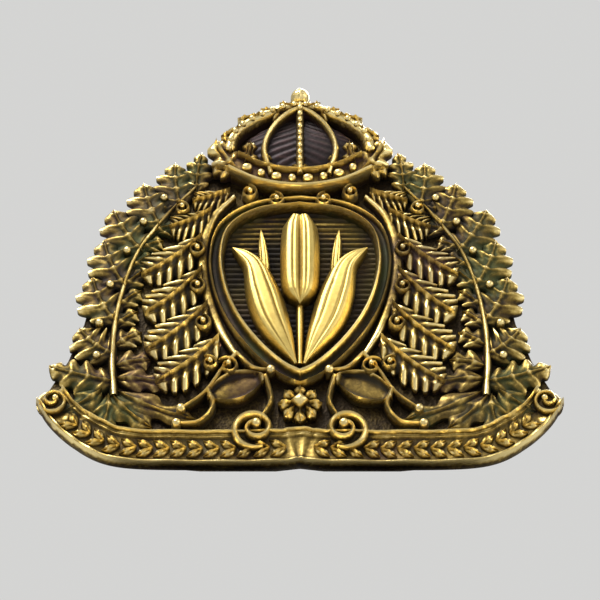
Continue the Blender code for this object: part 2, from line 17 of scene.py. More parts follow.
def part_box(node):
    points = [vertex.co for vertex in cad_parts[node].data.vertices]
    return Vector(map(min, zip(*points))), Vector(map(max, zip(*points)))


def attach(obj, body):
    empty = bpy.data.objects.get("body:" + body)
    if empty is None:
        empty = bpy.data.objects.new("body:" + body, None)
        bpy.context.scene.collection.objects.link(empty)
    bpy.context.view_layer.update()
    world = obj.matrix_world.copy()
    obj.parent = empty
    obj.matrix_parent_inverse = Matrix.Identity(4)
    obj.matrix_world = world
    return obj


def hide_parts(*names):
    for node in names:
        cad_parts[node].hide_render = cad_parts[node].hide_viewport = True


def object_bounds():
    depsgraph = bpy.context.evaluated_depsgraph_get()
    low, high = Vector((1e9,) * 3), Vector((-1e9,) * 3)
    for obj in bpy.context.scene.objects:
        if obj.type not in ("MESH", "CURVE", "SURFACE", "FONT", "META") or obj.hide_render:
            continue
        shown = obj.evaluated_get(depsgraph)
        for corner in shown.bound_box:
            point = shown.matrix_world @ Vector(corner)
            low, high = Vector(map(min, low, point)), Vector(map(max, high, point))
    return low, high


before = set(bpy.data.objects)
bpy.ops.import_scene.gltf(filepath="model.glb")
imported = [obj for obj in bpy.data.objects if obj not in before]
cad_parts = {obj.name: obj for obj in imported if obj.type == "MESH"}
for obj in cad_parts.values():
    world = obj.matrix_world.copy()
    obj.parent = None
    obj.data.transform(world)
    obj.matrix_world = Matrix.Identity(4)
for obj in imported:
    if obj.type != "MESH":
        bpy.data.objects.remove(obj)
CAD_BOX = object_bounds()

MM = 0.001
UNDERSIDE_STEP = 0.005      # between the undersides of a piece's shapes, in millimetres
SMOOTH_EDGE = 50            # degrees: edges of the relief that turn more than this are sharp
TURNED_EDGE = 30            # the same for the posts, washers and nuts


# ---- drawing in the face

class Area:
    """A CAD node's box in face axes, in millimetres. Its places are shares of its width and height."""

    def __init__(self, node):
        low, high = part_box(node)
        self.left, self.right = low.x / MM, high.x / MM
        self.bottom, self.top = low.z / MM, high.z / MM
        self.floor, self.crest = -high.y / MM, -low.y / MM
        self.width, self.height = self.right - self.left, self.top - self.bottom
        self.depth = self.crest - self.floor
        self.centre = np.array((self.left + self.width / 2, self.bottom + self.height / 2))

    def path(self, shares, side=1):
        """Places in the area, mirrored in the badge's centre line where side is -1."""
        return [np.array((self.left + across * self.width, self.bottom + up * self.height)) * (side, 1)
                for across, up in shares]

    def beside(self, share, side=1):
        """A place in a centred area: a share of its half width, outwards, and one of its height."""
        out, up = share
        return np.array((side * out * self.right, self.bottom + up * self.height))

    def half(self, shares, side=1):
        return [self.beside(share, side) for share in shares]

    def whole(self, shares):
        """A line across a centred area, from its right half and its mirror image."""
        return self.half(shares[:0:-1], -1) + self.half(shares)


def curve_through(points, count):
    """Points on a Catmull-Rom curve, as an array of count rows."""
    ends = [2 * points[0] - points[1], *points, 2 * points[-1] - points[-2]]
    made = []
    for place in np.linspace(0, len(points) - 1, count):
        k = min(int(place), len(points) - 2)
        t = place - k
        a, b, c, d = ends[k:k + 4]
        made.append(0.5 * (2 * b + (c - a) * t + (2 * a - 5 * b + 4 * c - d) * t ** 2
                           + (3 * b - a - 3 * c + d) * t ** 3))
    return np.array(made)


def directions(line):
    """Unit vectors along a line and across it, to its left."""
    along = np.gradient(line, axis=0)
    along /= np.linalg.norm(along, axis=1, keepdims=True)
    return along, np.stack((-along[:, 1], along[:, 0]), axis=1)


def bow(base, tip, bend, count):
    """A gently bent line from base to tip, bend millimetres off straight at its middle."""
    chord = tip - base
    middle = (base + tip) / 2 + np.array((-chord[1], chord[0])) / np.linalg.norm(chord) * bend * 2
    s = np.linspace(0, 1, count)[:, None]
    return base * (1 - s) ** 2 + middle * 2 * s * (1 - s) + tip * s ** 2


def bump(x, width):
    """A smooth hump of height 1 at x = 0."""
    return np.exp(-(x / width) ** 2)


def waves(share, number):
    """Rises from 0 to 1 and back, number times as share goes from 0 to 1."""
    return 0.5 - 0.5 * np.cos(2 * math.pi * share * number)


def edge_spaced(count):
    """Places from -1 to 1, closer together towards the ends."""
    return np.sin(np.linspace(-1, 1, count) * math.pi / 2)


def full_turn(steps):
    """Evenly spaced angles round a full turn, without its end."""
    return np.arange(steps) / steps * 2 * math.pi


def add_object(name, data):
    """A new object in the scene for a mesh, curve, light or camera."""
    made = bpy.data.objects.new(name, data)
    bpy.context.scene.collection.objects.link(made)
    return made


def stand_in(name, mesh, body):
    """The object that stands for a CAD node, on its body."""
    piece = add_object(name + "_finished", mesh)
    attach(piece, body)
    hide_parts(name)
    return piece


class Relief:
    """Gathers closed shapes, drawn in face axes, into one mesh."""

    def __init__(self):
        self.points, self.faces = [], []
        self.shapes = 0

    def _next_foot(self, foot):
        """Each shape stands a hair higher than the last, so that no two undersides share a plane."""
        self.shapes += 1
        return foot + (self.shapes - 1) * UNDERSIDE_STEP

    def _add(self, points):
        start = len(self.points)
        self.points.extend(np.asarray(points, float).reshape(-1, 3).tolist())
        return start

    def sheet(self, places, heights, foot, wrapped=False):
        """A closed solid under a grid of places and heights. A wrapped grid joins its ends."""
        rows, cols = places.shape[:2]
        top = np.dstack((places, np.broadcast_to(heights, (rows, cols))))
        grid = self._add(top) + np.arange(rows * cols).reshape(rows, cols)
        sides = top[:, [0, -1]].copy()
        sides[:, :, 2] = self._next_foot(foot)
        feet = self._add(sides) + np.arange(rows * 2).reshape(rows, 2)
        hoops = np.hstack((feet[:, :1], grid, feet[:, 1:])).tolist()
        self._join(hoops + hoops[:1] if wrapped else hoops)
        if not wrapped:
            self.faces += [tuple(hoops[0]), tuple(hoops[-1])]

    def _level(self, centre, radii, height):
        """Adds a hoop of points at one height, at these radii, and returns their numbers."""
        angles = full_turn(len(radii))
        points = np.stack((centre[0] + radii * np.cos(angles), centre[1] + radii * np.sin(angles),
                           np.full(len(radii), height)), axis=1)
        start = self._add(points)
        return list(range(start, start + len(radii)))

    def _join(self, hoops):
        """Faces between each hoop of points and the next. A hoop may be a single point."""
        for upper, lower in zip(hoops, hoops[1:]):
            steps = max(len(upper), len(lower))
            for i in range(steps):
                j = (i + 1) % steps
                if len(upper) == 1:
                    self.faces.append((upper[0], lower[i], lower[j]))
                elif len(lower) == 1:
                    self.faces.append((upper[i], lower[0], upper[j]))
                else:
                    self.faces.append((upper[i], lower[i], lower[j], upper[j]))

    def turned(self, centre, profile, steps=24, shape=None):
        """A turned shape about the face's normal. The profile lists (radius, height) from end to end."""
        scale = np.ones(steps) if shape is None else shape(full_turn(steps))
        self._join([self._level(centre, radius * scale, height) if radius > 0
                    else [self._add((*centre, height))] for radius, height in profile])

    def ring(self, centre, profile, steps=64, shape=None):
        """A turned ring about the face's normal. The profile is a closed loop of (radius, height)."""
        angles = full_turn(steps)
        hoops = [self._level(centre, np.full(steps, radius) if shape is None else shape(angles, radius),
                             height) for radius, height in profile]
        self._join(hoops + hoops[:1])

    def rod(self, centre, levels):
        """A closed rod about the face's normal, from (radii, height) levels with the same steps."""
        hoops = [self._level(centre, radii, height) for radii, height in levels]
        self._join(hoops)
        self.faces += [tuple(hoops[0]), tuple(hoops[-1])]

    def pearl(self, centre, radius, height, foot, steps=16, shape=None):
        """A round-topped boss whose crest is at height."""
        rise = min(radius, height - foot)
        foot = self._next_foot(foot)
        profile = [(0, height)]
        for turn in (18, 36, 54, 72, 90):
            angle = math.radians(turn)
            profile.append((radius * math.sin(angle), height - rise * (1 - math.cos(angle))))
        profile += [(radius, foot), (0, foot)]
        self.turned(centre, profile, steps, shape)

    def finish(self, name, material, body="badge", crease=SMOOTH_EDGE):
        """Makes the object that stands for a CAD node, smooth but for its sharp edges, on its body."""
        mesh = bpy.data.meshes.new(name)
        points = [(x * MM, -h * MM, y * MM) for x, y, h in self.points]
        mesh.from_pydata(points, [], self.faces)
        bm = bmesh.new()
        bm.from_mesh(mesh)
        bmesh.ops.recalc_face_normals(bm, faces=bm.faces)
        bm.to_mesh(mesh)
        bm.free()
        mesh.shade_smooth()
        mesh.set_sharp_from_angle(angle=math.radians(crease))
        mesh.materials.append(material)
        return stand_in(name, mesh, body)

    def finish_turned(self, name, centre, body="badge"):
        """Finishes a piece of machined brass, marked with each vertex's distance from its axis."""
        piece = self.finish(name, TURNED, body, TURNED_EDGE)
        marks = piece.data.attributes.new("ring", "FLOAT", "POINT")
        places = np.array([(v.co.x / MM, v.co.z / MM) for v in piece.data.vertices]) - centre
        marks.data.foreach_set("value", np.linalg.norm(places, axis=1).astype(np.float32))


def strip(relief, line, half_widths, section, foot, cols=13, wrapped=False):
    """A bar along a line. section gives the height from the shares along and across it, the latter
    from -1 to 1."""
    t = edge_spaced(cols)
    reach = np.broadcast_to(half_widths, len(line))[:, None] * t
    places = line[:, None] + directions(line)[1][:, None] * reach[:, :, None]
    relief.sheet(places, section(np.linspace(0, 1, len(line))[:, None], t[None, :]), foot, wrapped)


def rounded(low, high, power=2.5):
    """Section of a plain rounded bar."""
    return lambda s, t: low + (high - low) * (1 - np.abs(t) ** power)


def blade(relief, line, half, t, sweep, form, foot, crest):
    """A leaf on a bent line: half its width at each place, its edges swept towards the tip, and its
    form as shares of the height from foot to crest."""
    along, across = directions(line)
    places = line[:, None] + across[:, None] * (half * t)[:, :, None] + along[:, None] * sweep[:, :, None]
    relief.sheet(places, foot + (crest - foot) * form, foot)


def leaf(relief, base, tip, width, foot, crest, lobes=3, depth=0.45, bend=0.0, sweep=0.55, cols=19):
    """A struck leaf with a raised midrib, side veins and swept lobes, cupped between its veins."""
    rows = 12 * lobes + 5
    s = np.linspace(0, 1, rows)[:, None]
    t = edge_spaced(cols)[None, :]
    phase = s * lobes * 0.98
    hollow = (1 - waves(phase, 1)) ** 1.5
    envelope = np.sin(math.pi * s ** 0.75) ** 0.7
    half = width / 2 * (0.06 + 0.94 * envelope) * (1 - depth * hollow * np.clip(s * 6, 0, 1))
    drift = sweep * np.abs(t) ** 1.3 * half * (1 - s ** 4)
    vein = bump(((phase - 0.25 * np.abs(t)) % 1) - 0.5, 0.10) * np.clip(1.15 - np.abs(t), 0, 1)
    midrib = 0.22 * bump(t, 0.13) * (1 - 0.5 * s) - 0.10 * bump(np.abs(t) - 0.22, 0.10)
    form = 0.34 + 0.30 * (1 - np.abs(t) ** 2.2) + midrib + 0.12 * vein + 0.10 * waves(phase, 1) * np.abs(t)
    form = form * (0.72 + 0.28 * np.sin(math.pi * (0.15 + 0.75 * s)))
    blade(relief, bow(base, tip, bend, rows), half, t, drift, np.clip(form, 0.12, 1), foot, crest)


def plume(relief, base, tip, width, foot, crest, bend=0.6, barbs=6, cols=21):
    """A long feathery acanthus leaf: one keen ridge, with fine barbs falling away on each side."""
    rows = 8 * barbs + 1
    s = np.linspace(0, 1, rows)[:, None]
    t = edge_spaced(cols)[None, :]
    barbed = waves(s, barbs)
    notch = 1 - 0.34 * (1 - barbed) ** 2 * np.clip(8 * s * (1 - s), 0, 1)
    half = width / 2 * (0.08 + 0.92 * np.sin(math.pi * s ** 0.9) ** 0.55) * notch
    drift = 0.9 * np.abs(t) * half * (1 - s ** 4)
    ridge = 0.34 * bump(t, 0.12) - 0.10 * bump(np.abs(t) - 0.22, 0.09)
    form = 0.30 + 0.26 * (1 - np.abs(t) ** 2) + ridge + 0.15 * barbed * np.clip(np.abs(t) * 2.2, 0, 1)
    form = form * (0.72 + 0.28 * np.sin(math.pi * (0.2 + 0.65 * s)))
    blade(relief, bow(base, tip, bend, rows), half, t, drift, np.clip(form, 0.1, 1), foot, crest)


def curl(relief, centre, radius, turns, start, width, foot, crest, side=1):
    """A spiral tendril that starts fine, at an angle in degrees, and tightens to a raised eye."""
    s = np.linspace(0, 1, int(28 * turns) + 4)
    angle = math.radians(start) + s * turns * 2 * math.pi
    reach = radius * (1 - 0.82 * s)
    line = np.stack((np.cos(angle) * reach * side, np.sin(angle) * reach), axis=1) + centre
    half = width / 2 * (1 - 0.45 * s) * np.minimum(1, 0.3 + 7 * s)

    def section(along, t):
        return foot + (crest - foot) * (0.45 + 0.55 * (1 - t ** 2)) * (0.8 + 0.2 * along)

    strip(relief, line, half, section, foot, cols=9)
    relief.pearl(line[-1], width * 0.5, crest, foot, steps=12)


# ---- materials

class Graph:
    """A node tree, with a short way to add and link nodes."""

    def __init__(self, tree):
        self.tree = tree

    def node(self, kind, settings=None, **inputs):
        made = self.tree.nodes.new("ShaderNode" + kind)
        for key, value in (settings or {}).items():
            setattr(made, key, value)
        for key, value in inputs.items():
            self.feed(made.inputs[key.replace("_", " ")], value)
        return made

    def feed(self, socket, value):
        if isinstance(value, bpy.types.NodeSocket):
            self.tree.links.new(value, socket)
        elif isinstance(value, tuple) and len(value) == 3 and socket.type == "RGBA":
            socket.default_value = (*value, 1)
        else:
            socket.default_value = value

    def maths(self, operation, a, b=0.5, clamp=False):
        made = self.node("Math", {"operation": operation, "use_clamp": clamp})
        self.feed(made.inputs[0], a)
        self.feed(made.inputs[1], b)
        return made.outputs[0]

    def plus(self, a, b, clamp=False):
        return self.maths("ADD", a, b, clamp)

    def times(self, a, b):
        return self.maths("MULTIPLY", a, b)

    def blend(self, share, a, b):
        """Colour a where share is 0 and b where it is 1."""
        made = self.node("Mix", {"data_type": "RGBA"}, Factor=share)
        self.feed(made.inputs[6], a)
        self.feed(made.inputs[7], b)
        return made.outputs[2]

    def ramp(self, value, stops):
        """A ramp through (place, colour or grey) stops."""
        made = self.node("ValToRGB", Fac=value)
        elements = made.color_ramp.elements
        while len(elements) < len(stops):
            elements.new(0.5)
        for element, (place, colour) in zip(elements, stops):
            element.position = place
            element.color = (*colour, 1) if isinstance(colour, tuple) else (colour, colour, colour, 1)
        return made.outputs["Color"]

    def where(self):
        """Places in the object's own frame, in metres."""
        made = self.tree.nodes.get("where") or self.node("TexCoord", {"name": "where"})
        return made.outputs["Object"]

    def noise(self, scale, detail=4.0, roughness=0.55, stretch=(1, 1, 1)):
        vector = self.where()
        if stretch != (1, 1, 1):
            vector = self.node("Mapping", Vector=vector, Scale=stretch).outputs["Vector"]
        return self.node("TexNoise", Vector=vector, Scale=scale, Detail=detail,
                         Roughness=roughness).outputs["Fac"]

    def patches(self, low, high, *noise, **more):
        """0 where this noise is below low, rising to 1 where it is above high."""
        return self.ramp(self.noise(*noise, **more), ((low, 0.0), (high, 1.0)))

    def pointiness(self):
        return self.node("NewGeometry").outputs["Pointiness"]


class Shader(Graph):
    """A material's node tree."""

    def __init__(self, name):
        self.material = bpy.data.materials.new(name)
        self.material.use_nodes = True
        super().__init__(self.material.node_tree)
        self.principled = self.tree.nodes["Principled BSDF"]

    def bumps(self, *layers):
        """Stacks (height, depth in millimetres, strength) layers of fine relief."""
        normal = None
        for height, depth, strength in layers:
            made = self.node("Bump", Height=height, Distance=depth * MM, Strength=strength)
            if normal is not None:
                self.feed(made.inputs["Normal"], normal)
            normal = made.outputs["Normal"]
        self.feed(self.principled.inputs["Normal"], normal)

    def surface(self, colour, roughness, metallic=1.0):
        self.feed(self.principled.inputs["Base Color"], colour)
        self.feed(self.principled.inputs["Roughness"], roughness)
        self.feed(self.principled.inputs["Metallic"], metallic)
        return self.material


# Colours of the brass from its blackened recesses to its rubbed edges; slopes are also pushed towards the
# darker ones as painted shade
SOOT = (0.012, 0.008, 0.004)
COAL = (0.022, 0.014, 0.006)
BRONZE = (0.07, 0.048, 0.016)
UMBER = (0.056, 0.035, 0.011)
OLIVE = (0.180, 0.120, 0.030)
STRAW = (0.50, 0.355, 0.100)
PALE = (0.86, 0.69, 0.30)
# The lily's, from its creases to its crests
HONEY = (0.38, 0.265, 0.070)
AMBER = (0.54, 0.39, 0.11)
LEMON = (0.68, 0.51, 0.155)
# Tarnish
VERDIGRIS = (0.065, 0.088, 0.024)
PLUM = (0.085, 0.042, 0.048)
ASH = (0.10, 0.085, 0.055)
KHAKI = (0.11, 0.09, 0.04)
MOSS = (0.12, 0.09, 0.02)
# The fixings and the crown's cap
FRESH_BRASS = (0.60, 0.45, 0.18)
TURNED_SMOKE = (0.20, 0.13, 0.048)
PLATE_SMOKE = (0.19, 0.125, 0.045)
COPPER = (0.62, 0.30, 0.15)
DULL_COPPER = (0.12, 0.055, 0.03)
DEEP_LACQUER = (0.012, 0.006, 0.006)
WORN_LACQUER = (0.045, 0.022, 0.022)
# The studio
FLOOR_GREY = (0.36, 0.357, 0.350)
BACKDROP_GREY = (0.66, 0.66, 0.65)


def wear_and_slope_shade_share(shader, lift=0.0):
    """0 in the recesses to 1 on the high spots. Slopes and sides that turn away from the face are made darker
    as painted shade, and fine wear breaks it up.
    """

    def swing(share, reach):
        return shader.times(shader.maths("SUBTRACT", share, 0.5), reach)

    height = shader.node("Attribute", {"attribute_name": "rub"}).outputs["Fac"]
    normal = shader.node("TexCoord").outputs["Normal"]
    facing_for_painted_shade = shader.node("SeparateXYZ", Vector=normal).outputs["Y"]
    # Painted shade: the share drops by up to 0.6 where the smooth normal turns away from the face's, on
    # slopes, skirts and backs
    height = shader.plus(height, shader.times(shader.plus(facing_for_painted_shade, 1.0), -0.30))
    edges = shader.plus(height, swing(shader.pointiness(), 2.2))
    broken = shader.plus(swing(shader.noise(420, 5), 0.40), swing(shader.noise(2400, 4), 0.42))
    return shader.plus(shader.plus(edges, broken), lift, clamp=True)


def antique_brass(name, lift=0.0, tint=VERDIGRIS):
    """Blackened brass, rubbed bright where it stands proud, with a faint tarnish tint."""
    shader = Shader(name)
    share = wear_and_slope_shade_share(shader, lift)
    metal = shader.ramp(share, ((0.0, SOOT), (0.24, UMBER), (0.44, OLIVE), (0.64, STRAW), (0.84, PALE)))
    stain = shader.times(shader.patches(0.44, 0.62, 170, 3), 0.50)
    stain = shader.times(stain, shader.ramp(share, ((0.15, 1.0), (0.62, 0.0))))
    metal = shader.blend(stain, metal, tint)
    metal = shader.blend(shader.times(shader.patches(0.50, 0.68, 120, 2), 0.38), metal, PLUM)
    shader.bumps((shader.noise(3400, 4), 0.05, 0.7), (shader.noise(900, 3), 0.06, 0.4))
    return shader.surface(metal, shader.ramp(share, ((0.0, 0.66), (0.45, 0.48), (0.85, 0.28))),
                          shader.ramp(share, ((0.0, 0.55), (0.35, 0.95))))


def dark_ground(name):
    """The matted plate behind the relief: soot in its pits, a little olive on its grain."""
    shader = Shader(name)
    grain = shader.node("TexVoronoi", Vector=shader.where(), Scale=4200.0).outputs["Distance"]
    cloud = shader.plus(shader.noise(160, 5), shader.times(shader.noise(1500, 4), 0.4))
    share = shader.plus(shader.times(grain, 0.25), cloud, clamp=True)
    metal = shader.ramp(share, ((0.45, SOOT), (0.80, COAL), (1.0, BRONZE)))
    shader.bumps((grain, 0.05, 0.9), (shader.noise(600, 3), 0.05, 0.3))
    return shader.surface(metal, shader.ramp(share, ((0.3, 0.6), (0.9, 0.42))), 0.85)


def polished_brass(name):
    """The lily's bright metal, with soft scratches and tarnish left in its creases."""
    shader = Shader(name)
    share = wear_and_slope_shade_share(shader, 0.24)
    metal = shader.ramp(share, ((0.0, UMBER), (0.24, OLIVE), (0.50, HONEY), (0.76, AMBER), (1.0, LEMON)))
    scratches = shader.noise(900, 3, stretch=(1, 1, 9))
    shader.bumps((scratches, 0.008, 0.5), (shader.noise(2400, 2), 0.010, 0.35))
    rough = shader.plus(shader.times(scratches, 0.20), shader.ramp(share, ((0.1, 0.48), (0.6, 0.30))))
    return shader.surface(metal, rough)


def lacquer(name):
    """The crown's cap: dark lacquer worn through to brass on its hatching."""
    shader = Shader(name)
    colour = shader.ramp(wear_and_slope_shade_share(shader, -0.12),
                         ((0.1, DEEP_LACQUER), (0.5, WORN_LACQUER), (0.8, OLIVE), (1.0, STRAW)))
    shader.bumps((shader.noise(3000, 3), 0.03, 0.5),)
    return shader.surface(colour, shader.ramp(shader.noise(500, 3), ((0.3, 0.34), (0.8, 0.55))), 0.6)


def turned_brass(name):
    """Machined brass: fine tool rings round the axis, smoky tarnish and a few darker spots."""
    shader = Shader(name)
    radius = shader.node("Attribute", {"attribute_name": "ring"}).outputs["Fac"]
    cut = shader.maths("SINE", shader.times(radius, 95.0))
    smoke = shader.patches(0.35, 0.75, 260, 5)
    stained = shader.blend(shader.times(smoke, 0.75), FRESH_BRASS, TURNED_SMOKE)
    stained = shader.blend(shader.times(shader.patches(0.60, 0.70, 1500, 2), 0.5), stained, UMBER)
    keen = shader.ramp(shader.pointiness(), ((0.50, 0.0), (0.56, 1.0)))
    stained = shader.blend(shader.times(keen, 0.5), stained, PALE)
    shader.bumps((cut, 0.006, 0.8), (shader.noise(2200, 3), 0.02, 0.35))
    return shader.surface(stained, shader.plus(0.22, shader.times(smoke, 0.24)))


def brushed_plate(name):
    """Sheet brass with long brushing marks, handling scratches and smoky tarnish."""
    shader = Shader(name)
    brush = shader.noise(260, 6, 0.7, stretch=(0.6, 1, 26))
    nicks = shader.patches(0.66, 0.70, 420, 2, 0.4, stretch=(7, 1, 0.5))
    smoke = shader.patches(0.35, 0.75, 120, 5)
    stained = shader.blend(shader.times(smoke, 0.8), FRESH_BRASS, PLATE_SMOKE)
    stained = shader.blend(shader.times(brush, 0.35), stained, UMBER)
    shader.bumps((brush, 0.02, 0.5), (nicks, 0.02, 0.4))
    return shader.surface(stained, shader.plus(0.24, shader.times(smoke, 0.26)))


def peened_copper(name):
    """Hammered ends of the copper pins, dulled brown."""
    shader = Shader(name)
    dull = shader.patches(0.35, 0.7, 1400, 4)
    dents = shader.node("TexVoronoi", {"feature": "SMOOTH_F1"}, Vector=shader.where(), Scale=2600.0)
    shader.bumps((dents.outputs["Distance"], 0.05, 0.6), (shader.noise(5000, 2), 0.01, 0.4))
    return shader.surface(shader.blend(dull, COPPER, DULL_COPPER), shader.plus(0.3, shader.times(dull, 0.25)))


def plain_floor(name):
    """A pale floor. Its underside is left out, so that it never hides a badge seen from below."""
    shader = Shader(name)
    shader.surface(FLOOR_GREY, 0.75, 0.0)
    shader.bumps((shader.noise(90, 3), 0.05, 0.2),)
    choose = shader.node("MixShader", Fac=shader.node("NewGeometry").outputs["Backfacing"])
    shader.feed(choose.inputs[1], shader.principled.outputs[0])
    shader.feed(choose.inputs[2], shader.node("BsdfTransparent").outputs[0])
    shader.feed(shader.tree.nodes["Material Output"].inputs["Surface"], choose.outputs[0])
    return shader.material


LEAF_BRASS = antique_brass("leaf_brass", -0.07)
PLUME_BRASS = antique_brass("plume_brass", 0.08, ASH)
CROWN_BRASS = antique_brass("crown_brass", 0.17, PLUM)
RIM_BRASS = antique_brass("rim_brass", 0.08)
RIBBON_BRASS = antique_brass("ribbon_brass", 0.20, KHAKI)
LOZENGE_BRASS = antique_brass("lozenge_brass", -0.02, KHAKI)
FIELD_BRASS = antique_brass("field_brass", -0.04, MOSS)
GROUND = dark_ground("plate_ground")
LILY_BRASS = polished_brass("lily_brass")
CAP_LACQUER = lacquer("cap_lacquer")
TURNED = turned_brass("turned_brass")
KEEPER_BRASS = brushed_plate("keeper_brass")
PIN_COPPER = peened_copper("pin_copper")


# ---- sprays and mantling

# Leaves of the right spray: base and tip as shares of its box, width and bend in millimetres
SPRAY_LEAVES = (
    ((0.584, 0.055), (0.997, 0.119), 4.0, 0.25),
    ((0.597, 0.163), (0.815, 0.270), 4.7, 0.40),
    ((0.584, 0.290), (0.745, 0.478), 4.9, 0.40),
    ((0.532, 0.434), (0.680, 0.628), 4.9, 0.35),
    ((0.429, 0.578), (0.629, 0.758), 5.0, 0.30),
    ((0.319, 0.678), (0.435, 0.869), 4.8, 0.25),
    ((0.196, 0.765), (0.235, 0.956), 4.4, 0.20),
    ((0.093, 0.832), (0.061, 1.000), 3.0, 0.15),
)
# Small leaves on the stem's inner side, and round its foot
SPRAY_FILLERS = (
    ((0.56, 0.020), (0.06, -0.090), 3.2, 0.4),
    ((0.60, 0.010), (0.34, -0.120), 3.2, 0.3),
    ((0.62, 0.010), (0.66, -0.125), 3.2, -0.3),
    ((0.66, 0.030), (0.90, -0.060), 3.2, -0.2),
    ((0.58, 0.070), (0.25, 0.045), 3.0, -0.3),
    ((0.58, 0.120), (0.36, 0.145), 3.0, -0.2),
    ((0.59, 0.200), (0.42, 0.255), 2.8, -0.2),
    ((0.59, 0.275), (0.45, 0.340), 2.6, -0.2),
    ((0.58, 0.350), (0.43, 0.425), 2.6, -0.2),
    ((0.55, 0.430), (0.40, 0.510), 2.6, -0.2),
    ((0.50, 0.510), (0.36, 0.575), 2.6, -0.2),
    ((0.44, 0.590), (0.30, 0.630), 2.6, -0.2),
    ((0.36, 0.665), (0.23, 0.690), 2.6, -0.2),
    ((0.26, 0.735), (0.12, 0.745), 2.4, -0.2),
    ((0.30, 0.740), (0.30, 0.820), 2.4, 0.1),
    ((0.15, 0.815), (0.10, 0.890), 2.0, 0.1),
)
SPRAY_STEM = ((0.584, 0.002), (0.603, 0.166), (0.571, 0.367), (0.467, 0.571), (0.280, 0.732), (0.093, 0.852))
SPRAY_BERRIES = ((0.70, 0.155), (0.69, 0.285), (0.63, 0.440), (0.53, 0.580), (0.43, 0.700), (0.30, 0.800))

# Plumes of the right mantling, in the same way
MANTLING_PLUMES = (
    ((0.14, 0.985), (0.51, 0.930), 3.0, 0.3),
    ((0.32, 0.888), (0.73, 0.796), 3.4, 0.4),
    ((0.41, 0.757), (0.99, 0.555), 4.2, 0.5),
    ((0.40, 0.594), (0.95, 0.363), 4.4, 0.5),
    ((0.34, 0.420), (0.93, 0.185), 4.4, 0.5),
    ((0.23, 0.255), (0.83, 0.030), 4.4, 0.5),
)
MANTLING_STEM = ((0.10, 0.965), (0.30, 0.863), (0.395, 0.700), (0.365, 0.504), (0.228, 0.308), (0.061, 0.169))
# Tendrils round the lozenge below the shield, from the mantling's foot. The last ends under a scroll.
MANTLING_TENDRILS = (
    ((0.06, 0.17), (-0.10, 0.10), (-0.27, 0.085)),
    ((0.06, 0.17), (0.20, 0.09), (0.36, -0.02), (0.58, -0.10)),
    ((0.33, 0.00), (0.28, -0.08), (0.40, -0.155), (0.62, -0.17)),
    ((-0.22, 0.06), (-0.27, -0.05), (-0.17, -0.15)),
)
# Curls between the plumes: centre, radius in millimetres and the angle it starts at in degrees
MANTLING_CURLS = (
    ((0.14, 0.10), 1.15, 40),
    ((0.47, 0.68), 0.95, 100),
    ((0.46, 0.495), 0.95, 100),
    ((0.40, 0.315), 0.95, 100),
    ((0.62, 0.885), 0.90, 60),
    ((0.32, 0.115), 0.90, 60),
)


def make_spray(side, word):
    """An outer spray of oak leaves with its stem, small inner leaves and berries."""
    area = Area("leaf_spray_right")
    relief = Relief()
    for i, (base, tip, width, bend) in enumerate(SPRAY_LEAVES):
        overlap = 0.05 * (i % 2)
        leaf(relief, *area.path((base, tip), side), width, area.floor, area.crest + overlap, lobes=4,
             depth=0.34, bend=-side * bend, sweep=0.35)
    for base, tip, width, bend in SPRAY_FILLERS:
        leaf(relief, *area.path((base, tip), side), width, area.floor, area.crest - 0.25, lobes=2,
             bend=side * bend, cols=13)
    stem = curve_through(area.path(SPRAY_STEM, side), 60)
    strip(relief, stem, np.linspace(0.45, 0.25, 60), rounded(1.4, area.crest - 0.40), area.floor, cols=9)
    for place in area.path(SPRAY_BERRIES, side):
        relief.pearl(place, 0.40, area.crest - 0.05, area.floor)
    return relief.finish(f"leaf_spray_{word}", LEAF_BRASS)


def make_mantling(side, word):
    """An inner mantling of feathery plumes, with tendrils and curls round them."""
    area = Area("mantling_right")
    relief = Relief()
    for base, tip, width, bend in MANTLING_PLUMES:
        plume(relief, *area.path((base, tip), side), width, area.floor, area.crest, bend=-side * bend)
    stem = curve_through(area.path(MANTLING_STEM, side), 60)
    halves = 0.30 + 0.35 * np.sin(math.pi * np.linspace(0, 1, 60))
    strip(relief, stem, halves, rounded(1.3, area.crest - 1.2, 4), area.floor, cols=13)
    tendrils = [curve_through(area.path(points, side), 40) for points in MANTLING_TENDRILS]
    section = rounded(1.6, area.crest - 0.6, 2)
    for line in tendrils:
        strip(relief, line, np.linspace(0.38, 0.20, 40), section, area.floor, cols=9)
    for line in tendrils[:-1]:
        relief.pearl(line[-1], 0.46, area.crest - 0.35, area.floor, steps=12)
    for share, radius, start in MANTLING_CURLS:
        centre, = area.path((share,), side)
        curl(relief, centre, radius, 1.2, start, 0.5, area.floor, area.crest - 0.15, side)
    return relief.finish(f"mantling_{word}", PLUME_BRASS)


# ---- shield and lily

# The rim's middle line: the right half from the top down, as shares of its half width and height
RIM_LINE = ((0, 0.973), (0.495, 0.940), (0.835, 0.840), (0.938, 0.686), (0.892, 0.510), (0.740, 0.343),
            (0.490, 0.190), (0.215, 0.076), (0, 0.026))
RIM_STEPS = 70
RIM_HALF_WIDTH = 0.80
FIELD_BARS = 34
FIELD_BAR_DEPTH = 0.22


def evenly(line, gap):
    """Places along a line from end to end, gap millimetres apart or a little more."""
    run = np.concatenate(([0], np.cumsum(np.linalg.norm(np.diff(line, axis=0), axis=1))))
    at = np.linspace(0, run[-1], math.ceil(run[-1] / gap))
    return np.stack([np.interp(at, run, line[:, k]) for k in (0, 1)], axis=1)


def inset(relief, edge, rows, cols, surface, foot):
    """A sheet that fills a symmetric outline. edge is its right side, from one end to the other."""
    order = np.argsort(edge[:, 1])
    ups = np.linspace(edge[:, 1].min(), edge[:, 1].max(), rows)[:, None]
    reach = np.interp(ups, edge[order, 1], edge[order, 0])
    t = edge_spaced(cols)[None, :]
    places = np.dstack((reach * t, np.repeat(ups, cols, axis=1)))
    relief.sheet(places, surface(np.linspace(0, 1, rows)[:, None], t), foot)


